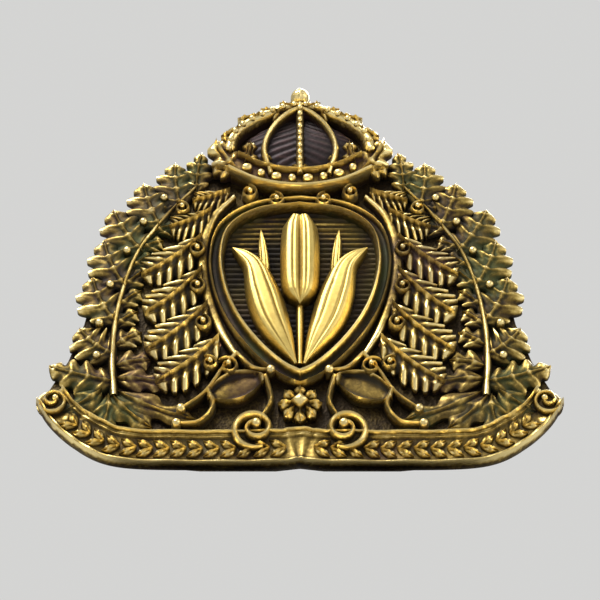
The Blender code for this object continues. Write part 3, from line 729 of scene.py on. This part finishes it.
def make_rim():
    """The shield's moulded rim: a keen outer roll, a hollow and a lower inner roll."""
    area = Area("shield_rim")
    half = curve_through(area.half(RIM_LINE), RIM_STEPS)
    line = np.vstack((half, (half * (-1, 1))[-2:0:-1]))
    relief = Relief()

    def section(s, t):
        outer = bump(t + 0.55, 0.34)
        inner = bump(t - 0.78, 0.16)
        return area.floor + area.depth * (0.40 + 0.58 * outer + 0.38 * inner)

    strip(relief, line, RIM_HALF_WIDTH, section, area.floor, cols=21, wrapped=True)
    return relief.finish("shield_rim", RIM_BRASS)


def make_field():
    """The shield's field, cut with fine level bars. Its edge is hidden under the rim."""
    area = Area("shield_field")
    edge = curve_through(Area("shield_rim").half(RIM_LINE), RIM_STEPS) * (0.985, 1)
    relief = Relief()

    def surface(s, t):
        return area.crest - FIELD_BAR_DEPTH * (1 - waves(s, FIELD_BARS)) ** 2

    inset(relief, edge, FIELD_BARS * 8 + 1, 9, surface, area.floor)
    return relief.finish("shield_field", FIELD_BRASS)


# The lily's petals: middle lines as shares of its half width and height, with half widths in millimetres
CENTRE_PETAL = ((0, 0.405), (0, 0.56), (0, 0.75), (0, 1.0))
CENTRE_WIDTHS = (0.05, 1.05, 1.60, 1.80, 1.88, 1.92, 1.95, 1.96, 1.96, 1.94, 1.88, 1.72, 1.10)
OUTER_PETAL = ((0.06, 0.01), (0.21, 0.14), (0.40, 0.31), (0.54, 0.50), (0.68, 0.68), (0.98, 0.80))
OUTER_WIDTHS = (0.15, 0.50, 0.95, 1.40, 1.70, 1.82, 1.72, 1.45, 1.10, 0.70, 0.06)
INNER_PETAL = ((0.50, 0.50), (0.52, 0.70), (0.57, 0.93))
INNER_WIDTHS = (0.30, 0.50, 0.58, 0.55, 0.42, 0.05)
STALK = ((0, 0.02), (0, 0.25), (0, 0.48))
STALK_HALF_WIDTH = 0.4


def petal(relief, line, widths, foot, low, high, groove=0.0):
    """A crisp petal: bevelled flanks up to a veined crest, with a groove this deep down its middle."""
    halves = np.interp(np.linspace(0, 1, len(line)), np.linspace(0, 1, len(widths)), widths)
    swell = (halves / halves.max())[:, None]

    def section(s, t):
        flank = np.clip((1 - np.abs(t)) / 0.38, 0, 1)
        crest = low + (high - low) * flank ** 0.8 * np.sqrt(swell)
        veins = 0.13 * (bump(np.abs(t) - 0.34, 0.05) + 0.7 * bump(np.abs(t) - 0.60, 0.05))
        return crest - (groove * bump(t, 0.13) + veins) * swell

    strip(relief, line, halves, section, foot, cols=45)


def make_lily():
    """The bright lily: three large petals on a stalk, and two slim ones between them."""
    area = Area("lily_overlay")
    floor = area.floor
    relief = Relief()
    petal(relief, curve_through(area.half(CENTRE_PETAL), 60), CENTRE_WIDTHS, floor, floor + 0.9, area.crest,
          groove=0.35)
    strip(relief, curve_through(area.half(STALK), 20), STALK_HALF_WIDTH, rounded(floor + 0.2, floor + 0.75),
          floor, cols=9)
    for side in (1, -1):
        petal(relief, curve_through(area.half(OUTER_PETAL, side), 60), OUTER_WIDTHS, floor, floor + 0.7,
              area.crest - 0.25)
        petal(relief, curve_through(area.half(INNER_PETAL, side), 40), INNER_WIDTHS, floor, floor + 0.5,
              area.crest - 0.7)
    return relief.finish("lily_overlay", LILY_BRASS)


# ---- crown

# Middle lines of its bars: the right halves, as shares of its half width and height
BAND_LINE = ((0, 0.093), (0.443, 0.145), (0.802, 0.286))
ARCH_LINE = ((0, 0.938), (0.455, 0.833), (0.778, 0.639), (0.862, 0.436))
RIB_LINE = ((0, 0.885), (0.287, 0.727), (0.431, 0.454), (0.347, 0.145))
SPINE_LINE = ((0, 0.145), (0, 0.55), (0, 0.938))
CAP_EDGE = ((0, 0.0), (0.60, 0.075), (0.92, 0.25), (1.0, 0.44), (0.92, 0.60), (0.54, 0.84), (0, 1.0))
# Half widths of the bars, and gaps between the jewels or beads on them, in millimetres
BAND_HALF_WIDTH, JEWEL_GAP = 1.22, 1.45
ARCH_HALF_WIDTH, ARCH_BEAD_GAP = 0.66, 1.15
SPINE_HALF_WIDTH, SPINE_BEAD_GAP = 0.42, 0.8
RIB_HALF_WIDTH = 0.36
ORB_BAND_HALF_WIDTH = 0.15
UNDER_CURLS = ((0.30, -0.11), (0.62, -0.03))
# The leaves at the horns, on the band and over the arch: base and tip, width and bend in millimetres
CROWN_LEAVES = (
    ((0.74, 0.20), (1.02, 0.58), 3.3, 0.3),
    ((0.68, 0.26), (0.60, 0.56), 2.2, -0.2),
    ((0.80, 0.20), (1.06, 0.26), 1.6, 0.1),
    ((0.00, 0.16), (0.00, 0.42), 1.9, 0.0),
    ((0.40, 0.20), (0.39, 0.40), 1.5, 0.0),
    ((0.04, 0.91), (0.25, 0.98), 1.8, 0.1),
    ((0.16, 0.87), (0.48, 0.91), 1.7, 0.2),
    ((0.42, 0.84), (0.76, 0.80), 1.8, 0.2),
    ((0.70, 0.70), (0.96, 0.60), 1.8, 0.2),
)


def make_crown_frame():
    """The crown's band with struck jewels, its leaves, and the beaded arches over its cap."""
    area = Area("crown_frame")
    relief = Relief()
    band = curve_through(area.whole(BAND_LINE), 90)

    def section(s, t):
        lips = bump(np.abs(t) - 0.84, 0.14)
        return area.floor + area.depth * (0.56 + 0.40 * lips)

    strip(relief, band, BAND_HALF_WIDTH, section, area.floor, cols=21)
    for i, place in enumerate(evenly(band, JEWEL_GAP)[1:-1]):
        longer = 0.35 if i % 2 == 0 else 0.0
        relief.pearl(place, 0.40, area.crest - 0.28, area.floor, steps=16,
                     shape=lambda a: 1 + longer * np.cos(a) ** 2)

    arch = curve_through(area.whole(ARCH_LINE), 90)
    strip(relief, arch, ARCH_HALF_WIDTH, rounded(1.9, area.crest - 0.75, 3), area.floor, cols=11)
    for place in evenly(arch, ARCH_BEAD_GAP):
        relief.pearl(place, 0.34, area.crest - 0.45, area.floor, steps=14)
    ribs = curve_through(area.whole(RIB_LINE), 80)
    strip(relief, ribs, RIB_HALF_WIDTH, rounded(2.4, area.crest - 0.45), area.floor, cols=9)
    spine = curve_through(area.half(SPINE_LINE), 40)
    strip(relief, spine, SPINE_HALF_WIDTH, rounded(2.4, area.crest - 0.35), area.floor, cols=9)
    for place in evenly(spine, SPINE_BEAD_GAP)[2:-1]:
        relief.pearl(place, 0.27, area.crest, area.floor, steps=12)

    for side in (1, -1):
        for base, tip, width, bend in CROWN_LEAVES:
            leaf(relief, *area.half((base, tip), side), width, area.floor, area.crest, lobes=2,
                 bend=-side * bend, cols=13)
        for place in area.half(UNDER_CURLS, side):
            curl(relief, place, 0.95, 1.25, 90, 0.5, area.floor, area.crest - 0.6, side)
    return relief.finish("crown_frame", CROWN_BRASS)


def make_crown_cap():
    """The dark cap that fills the crown, puffed up and cut with slanting lines."""
    area = Area("crown_cap")
    relief = Relief()

    def surface(s, t):
        puff = (np.sin(math.pi * s) * (1 - np.abs(t) ** 3)) ** 0.45
        lines = 1 - waves(s * 9 + np.abs(t) * 3, 1)
        return area.floor + area.depth * (0.35 + 0.65 * puff) - 0.12 * lines ** 2

    inset(relief, curve_through(area.half(CAP_EDGE), 60), 90, 41, surface, area.floor)
    return relief.finish("crown_cap", CAP_LACQUER)


def make_orb():
    """The orb on the crown, with a band over and across it."""
    area = Area("crown_orb")
    radius = area.width / 2
    relief = Relief()
    relief.pearl(area.centre, radius, area.crest - 0.08, area.floor, steps=32)

    def dome(s, t):
        x = (2 * s - 1) * radius
        return area.crest - radius + np.sqrt(np.maximum(radius ** 2 - x ** 2, 0)) - 0.1 * t ** 2

    across = np.outer(np.linspace(-radius, radius, 25), (1, 0))
    for line in (across, across[:, ::-1]):
        strip(relief, line + area.centre, ORB_BAND_HALF_WIDTH, dome, area.floor, cols=7)
    return relief.finish("crown_orb", CROWN_BRASS)


# ---- ribbon and base

RIBBON_LINE = ((0, 0.266), (0.090, 0.233), (0.376, 0.222), (0.666, 0.255), (0.799, 0.432), (0.893, 0.664),
               (0.948, 0.919))
RIBBON_HALF_WIDTH = 1.95
# The garland runs between these shares of the ribbon's half width, with a pair of leaves every SPRIG_GAP
GARLAND_START, GARLAND_END = 0.05, 0.84
SPRIG_GAP = 1.5
SPRIG_LENGTH, SPRIG_SPREAD, SPRIG_WIDTH = 1.6, 0.90, 1.0
# Centres of the scrolls that stand on the ribbon, and of its rolled ends
SCROLL_CENTRE, SCROLL_RADIUS = (0.170, 0.46), 2.3
ROLL_CENTRE, ROLL_RADIUS = (0.935, 0.83), 1.62
PETALS = 8


def lozenge(angles):
    """The reach of a slightly rounded lozenge at each angle, for a radius of 1."""
    return 1.12 / (np.abs(np.cos(angles)) ** 1.15 + np.abs(np.sin(angles)) ** 1.15)


def make_ribbon():
    """The ribbon: a raised border, a sunk field with a plain leaf garland, scrolls and rolled ends."""
    area = Area("ribbon")
    relief = Relief()
    line = curve_through(area.whole(RIBBON_LINE), 260)
    reach = np.abs(line[:, 0]) / area.right
    halves = RIBBON_HALF_WIDTH * (1 - 1.2 * np.maximum(reach - 0.78, 0))

    def section(s, t):
        border = 0.46 * bump(np.abs(t) - 0.90, 0.08) + 0.20 * bump(np.abs(t) - 0.70, 0.05)
        hollow = 0.16 * (1 - t ** 2) + 0.04 * np.sin(s * 38 * math.pi) + 0.34 * bump(1 - np.abs(t), 0.035)
        return area.floor + area.depth * (0.56 + border - hollow)

    strip(relief, line, halves, section, area.floor, cols=31)
    for side in (1, -1):
        middle = curve_through(area.half(RIBBON_LINE, side), 200)
        reach = np.abs(middle[:, 0]) / area.right
        garland = evenly(middle[(reach > GARLAND_START) & (reach < GARLAND_END)], SPRIG_GAP)
        for place, along, across in zip(garland, *directions(garland)):
            for turn in (1, -1):
                tip = place + along * SPRIG_LENGTH + across * turn * SPRIG_SPREAD
                leaf(relief, place, tip, SPRIG_WIDTH, area.floor, area.crest + 0.1, lobes=1,
                     depth=0.0, cols=11)
        curl(relief, area.beside(SCROLL_CENTRE, side), SCROLL_RADIUS, 1.6, 250, 0.95, area.floor,
             area.crest + 0.5, side)
        end = area.beside(ROLL_CENTRE, side)
        relief.pearl(end, ROLL_RADIUS, area.floor + 0.9, area.floor, steps=32)
        curl(relief, end, 1.45, 1.5, 200, 0.62, area.floor, area.crest + 0.2, -side)
    return relief.finish("ribbon", RIBBON_BRASS)


def make_base_leaf(side, word):
    """A smooth lozenge under the shield, with a bright rolled rim."""
    area = Area("base_leaf_right")
    base, tip = area.path(((0.02, 0.80), (1.0, 0.10)), side)
    halves = 0.05 + 1.75 * np.sin(math.pi * np.linspace(0, 1, 50)) ** 0.8
    relief = Relief()

    def section(s, t):
        rim = bump(np.abs(t) - 0.86, 0.12)
        ends = bump(s - 0.06, 0.05) + bump(s - 0.94, 0.05)
        dome = 0.30 * (1 - t ** 2)
        return area.floor + area.depth * (0.30 + dome + 0.62 * np.maximum(rim, ends))

    strip(relief, bow(base, tip, side * 0.25, 50), halves, section, area.floor, cols=25)
    return relief.finish(f"base_leaf_{word}", LOZENGE_BRASS)


def make_rosette():
    """The rosette stud: eight petals round a cut boss, on a shank with a peened head."""
    area = Area("rosette_stud")
    radius = area.width / 2
    front = Area("ribbon").floor
    relief = Relief()
    relief.pearl(area.centre, radius * 0.9, front + 1.1, front, steps=40,
                 shape=lambda a: 0.94 + 0.06 * np.cos(PETALS * a))
    for angle in full_turn(PETALS):
        way = np.array((math.cos(angle), math.sin(angle))) * radius
        leaf(relief, area.centre + way * 0.28, area.centre + way, 1.15, front, area.crest - 0.25, lobes=1,
             depth=0.0, cols=11)
    relief.pearl(area.centre, radius * 0.36, area.crest, front, steps=16, shape=lozenge)
    pin(relief, area.centre, front)
    return relief.finish("rosette_stud", RIM_BRASS)


# ---- pins and fixings

# All in millimetres but the number of knurls. Pin radii are at the shank and head, heights at the head.
PIN_SHANK, PIN_HEAD = 0.5, 0.95
HEAD_TOP, HEAD_BOTTOM = -0.03, -0.35
THREAD_PITCH, THREAD_DEPTH = 0.635, 0.20
KNURLS, KNURL_DEPTH = 40, 0.30
KEEPER_EDGE = 0.14


def pin(relief, centre, top):
    """A shank through the plate, with a domed, hammered head behind it."""
    profile = [(0, top), (PIN_SHANK, top), (PIN_SHANK, HEAD_TOP), (PIN_HEAD, HEAD_TOP)]
    for turn in (15, 35, 55, 75):
        angle = math.radians(turn)
        profile.append((PIN_HEAD * math.cos(angle), HEAD_TOP + (HEAD_BOTTOM - HEAD_TOP) * math.sin(angle)))
    profile.append((0, HEAD_BOTTOM))
    relief.turned(centre, profile, steps=24, shape=lambda a: 1 + 0.03 * np.cos(3 * a + centre[0]))


def make_pin(name):
    area = Area(name)
    relief = Relief()
    pin(relief, area.centre, area.crest)
    relief.finish(name, PIN_COPPER)


def make_post(name):
    """A screwed post with a chamfered tip and a real helical thread."""
    area = Area(name)
    radius = area.width / 2
    steps, rows_per_turn = 32, 10
    rows = int(area.depth / THREAD_PITCH * rows_per_turn)
    levels = []
    for height in np.linspace(area.crest, area.floor, rows):
        phase = height / THREAD_PITCH + np.arange(steps) / steps
        radii = radius - THREAD_DEPTH * (1 - waves(phase, 1))
        chamfer = radius * 0.72 + (height - area.floor)
        levels.append((np.minimum(radii, chamfer), height))
    relief = Relief()
    relief.rod(area.centre, levels)
    relief.finish_turned(name, area.centre)


def loop(inner, outer, low, high, edge=0.12):
    """A ring's closed profile with its outer corners taken off."""
    return [(inner, high), (outer - edge, high), (outer, high - edge), (outer, low + edge),
            (outer - edge, low), (inner, low)]


def make_flange(name, post):
    """A post's flange, with a fillet of solder small enough to pass into the keeper's hole."""
    area = Area(name)
    shaft = Area(post).width / 2 + 0.05
    profile = loop(shaft, area.width / 2, area.floor, area.crest)
    profile[-1:] = [(shaft + 0.12, area.floor), (shaft + 0.04, area.floor - 0.05), (shaft, area.floor - 0.15)]
    relief = Relief()
    relief.ring(area.centre, profile)
    relief.finish_turned(name, area.centre)


def make_washer(name, post):
    area = Area(name)
    hole = Area(post).width / 2 + 0.2
    relief = Relief()
    relief.ring(area.centre, loop(hole, area.width / 2, area.floor, area.crest))
    relief.finish_turned(name, area.centre, name)


def make_nut(name, post):
    """A round nut with a straight knurl, a turned neck and a chamfered thread."""
    area = Area(name)
    hole, outer = Area(post).width / 2 + 0.05, area.width / 2
    profile = [(hole, area.crest), (outer - 0.5, area.crest), (outer - 0.1, area.crest - 0.3),
               (outer, area.crest - 0.42), (outer, area.floor + 0.72), (outer - 0.1, area.floor + 0.6),
               (outer - 0.75, area.floor + 0.4), (outer - 0.95, area.floor), (hole + 0.6, area.floor),
               (hole, area.floor + 0.5)]

    def knurl(angles, radius):
        depth = KNURL_DEPTH if radius > outer - 0.06 else 0.0
        return radius - depth * (0.5 + 0.5 * np.cos(KNURLS * angles)) ** 2

    relief = Relief()
    relief.ring(area.centre, profile, steps=KNURLS * 6, shape=knurl)
    relief.finish_turned(name, area.centre, name)


def keeper_outlines(area):
    """The keeper's round-ended outline and its two holes, drawn in by the rounding of their edges."""
    post = Area("post_right")
    end = area.height / 2 - KEEPER_EDGE
    straight = area.width / 2 - area.height / 2
    half_turn = np.linspace(-math.pi / 2, math.pi / 2, 33)
    right = np.stack((straight + end * np.cos(half_turn), end * np.sin(half_turn)), axis=1)
    turn = full_turn(48)
    hole = (post.width / 2 + 0.2 + KEEPER_EDGE) * np.stack((np.cos(turn), np.sin(turn)), axis=1)
    across = (post.centre[0], 0)
    return np.vstack((right, -right)), hole + across, hole - across


def make_keeper():
    """The keeper plate: a round-ended strip with softened edges and two clearance holes."""
    area = Area("keeper_plate")
    curve = bpy.data.curves.new("keeper_outline", "CURVE")
    curve.dimensions = "2D"
    curve.fill_mode = "BOTH"
    curve.extrude = (area.depth / 2 - KEEPER_EDGE) * MM
    curve.bevel_depth = KEEPER_EDGE * MM
    curve.bevel_resolution = 2
    for outline in keeper_outlines(area):
        spline = curve.splines.new("POLY")
        spline.points.add(len(outline) - 1)
        for point, (x, y) in zip(spline.points, outline * MM):
            point.co = (x, y, 0, 1)
        spline.use_cyclic_u = True
    drawn = add_object("keeper_drawing", curve)
    drawn.rotation_euler = (math.radians(90), 0, 0)
    drawn.location = (0, -(area.floor + area.crest) / 2 * MM, area.centre[1] * MM)
    graph = bpy.context.evaluated_depsgraph_get()
    mesh = bpy.data.meshes.new_from_object(drawn.evaluated_get(graph))
    mesh.transform(drawn.matrix_world)
    bpy.data.objects.remove(drawn)
    mesh.materials.clear()
    mesh.materials.append(KEEPER_BRASS)
    stand_in("keeper_plate", mesh, "keeper")


# ---- wear, carried-over parts

GRID_STEP = 0.12            # spacing of the height map that finds recesses, in millimetres
LEVEL_RUB = 0.35            # wear of a place that is level with its surroundings
BACK_RUB = 0.3              # added wear of what shows behind the plate
# How far around a place its surroundings reach, in millimetres, and the wear for each millimetre above them
NEAR_REACH, NEAR_RUB = 0.30, 1.15
FAR_REACH, FAR_RUB = 1.1, 0.42


def height_map(pieces):
    """How high the face stands, on a grid over the whole badge, with the grid's corner."""
    points, faces = [], []
    for piece in pieces:
        start = len(points)
        points += [tuple(v.co) for v in piece.data.vertices]
        faces += [tuple(start + i for i in polygon.vertices) for polygon in piece.data.polygons]
    tree = BVHTree.FromPolygons(points, faces)
    low, high = Vector(CAD_BOX[0]), Vector(CAD_BOX[1])
    margin = 4 * GRID_STEP
    xs = np.arange(low.x / MM - margin, high.x / MM + margin, GRID_STEP)
    ys = np.arange(low.z / MM - margin, high.z / MM + margin, GRID_STEP)
    plate = Area("base_plate").crest
    heights = np.full((len(ys), len(xs)), plate)
    ahead = low.y - 0.01
    for j, y in enumerate(ys):
        for i, x in enumerate(xs):
            hit = tree.ray_cast(Vector((x * MM, ahead, y * MM)), Vector((0, 1, 0)))[0]
            if hit:
                heights[j, i] = -hit.y / MM
    return heights, np.array((xs[0], ys[0]))


def softened(heights, spread):
    """The height map blurred by spread millimetres."""
    reach = int(3 * spread / GRID_STEP)
    kernel = np.exp(-0.5 * (np.arange(-reach, reach + 1) * GRID_STEP / spread) ** 2)
    kernel /= kernel.sum()
    for axis in (0, 1):
        padded = np.pad(heights, [(reach, reach) if k == axis else (0, 0) for k in (0, 1)], mode="edge")
        heights = np.apply_along_axis(lambda row: np.convolve(row, kernel, "valid"), axis, padded)
    return heights


def wear(pieces):
    """Stores how far each vertex stands above its surroundings, where LEVEL_RUB is level with them."""
    heights, corner = height_map(pieces)
    near, far = softened(heights, NEAR_REACH), softened(heights, FAR_REACH)
    for piece in pieces:
        places = np.array([(v.co.x, v.co.z, -v.co.y) for v in piece.data.vertices]) / MM
        cells = np.rint((places[:, :2] - corner) / GRID_STEP).astype(int)
        i = np.clip(cells[:, 0], 0, heights.shape[1] - 1)
        j = np.clip(cells[:, 1], 0, heights.shape[0] - 1)
        proud = NEAR_RUB * (places[:, 2] - near[j, i]) + FAR_RUB * (places[:, 2] - far[j, i])
        proud = np.where(places[:, 2] < 0, BACK_RUB, proud)
        rub = piece.data.attributes.new("rub", "FLOAT", "POINT")
        rub.data.foreach_set("value", np.clip(LEVEL_RUB + proud, 0, 1).astype(np.float32))


def dress(node, material, bevel):
    """Keeps a CAD part, with its sharp edges taken off and its own material."""
    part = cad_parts[node]
    part.data.materials.clear()
    part.data.materials.append(material)
    edge = part.modifiers.new("soft_edge", "BEVEL")
    edge.width = bevel * MM
    edge.segments = 2
    edge.limit_method = "ANGLE"
    edge.angle_limit = math.radians(40)


FRONT = []
for side, word in ((1, "right"), (-1, "left")):
    FRONT += [make_spray(side, word), make_mantling(side, word), make_base_leaf(side, word)]
FRONT += [make_rim(), make_field(), make_lily(), make_crown_frame(), make_crown_cap(), make_orb(),
          make_ribbon(), make_rosette()]
wear(FRONT)

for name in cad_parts:
    if "_pin" in name:
        make_pin(name)
for word in ("left", "right"):
    post = f"post_{word}"
    make_post(post)
    make_flange(f"post_flange_{word}", post)
    make_washer(f"washer_{word}", post)
    make_nut(f"nut_{word}", post)
dress("base_plate", GROUND, 0.12)
make_keeper()


# ---- stage, light and camera

VIEW_BELOW_NORMAL = 36.0    # degrees from the face's normal, towards the ribbon
CAMERA_DISTANCE = 0.38      # metres
VIEW_WIDTH = 0.060          # metres across the view at that distance
SENSOR_WIDTH = 36           # millimetres


def aim(obj, target):
    obj.rotation_euler = (Vector(target) - obj.location).to_track_quat("-Z", "Y").to_euler()


def around(azimuth, elevation, distance, centre):
    """A place at this azimuth and elevation. Azimuth 0 is in front of the face."""
    a, e = math.radians(azimuth), math.radians(elevation)
    way = Vector((math.sin(a) * math.cos(e), -math.cos(a) * math.cos(e), math.sin(e)))
    return Vector(centre) + way * distance


def make_floor(level):
    bpy.ops.mesh.primitive_plane_add(size=1.2, location=(0, 0, level))
    floor = bpy.context.object
    floor.name = "studio_floor"
    floor.data.materials.append(plain_floor("plain_floor"))


def soft_light(name, azimuth, elevation, distance, size, power, centre, colour=(1, 1, 1)):
    data = bpy.data.lights.new(name, "AREA")
    data.size = size
    data.energy = power
    data.color = colour
    lamp = add_object(name, data)
    lamp.location = around(azimuth, elevation, distance, centre)
    aim(lamp, centre)


def make_world():
    """A pale studio, brighter overhead than below, behind an even backdrop."""
    world = bpy.data.worlds.new("studio")
    bpy.context.scene.world = world
    world.use_nodes = True
    graph = Graph(world.node_tree)
    way = graph.node("TexCoord").outputs["Generated"]
    rise = graph.node("SeparateXYZ", Vector=way).outputs["Z"]
    share = graph.node("MapRange", Value=rise, From_Min=-1).outputs["Result"]
    glow = graph.ramp(share, ((0.0, 0.10), (1.0, 0.64)))
    seen = graph.node("LightPath").outputs["Is Camera Ray"]
    background = world.node_tree.nodes["Background"].inputs["Color"]
    graph.feed(background, graph.blend(seen, glow, BACKDROP_GREY))


def make_camera(centre):
    data = bpy.data.cameras.new("main_camera")
    data.sensor_width = SENSOR_WIDTH
    data.lens = SENSOR_WIDTH * CAMERA_DISTANCE / VIEW_WIDTH
    camera = add_object("main_camera", data)
    camera.location = around(0, -VIEW_BELOW_NORMAL, CAMERA_DISTANCE, centre)
    aim(camera, centre)
    bpy.context.scene.camera = camera


middle = (Vector(CAD_BOX[0]) + Vector(CAD_BOX[1])) / 2
make_floor(CAD_BOX[0][2] - 0.0001)
make_world()
soft_light("key", -32, 48, 0.5, 0.34, 3.6, middle)
soft_light("fill", 60, 5, 0.6, 0.5, 1.5, middle, (1.0, 0.98, 0.95))
soft_light("back_key", 160, 45, 0.5, 0.3, 3.2, middle)
make_camera(middle)
bpy.context.scene.view_settings.view_transform = "Standard"
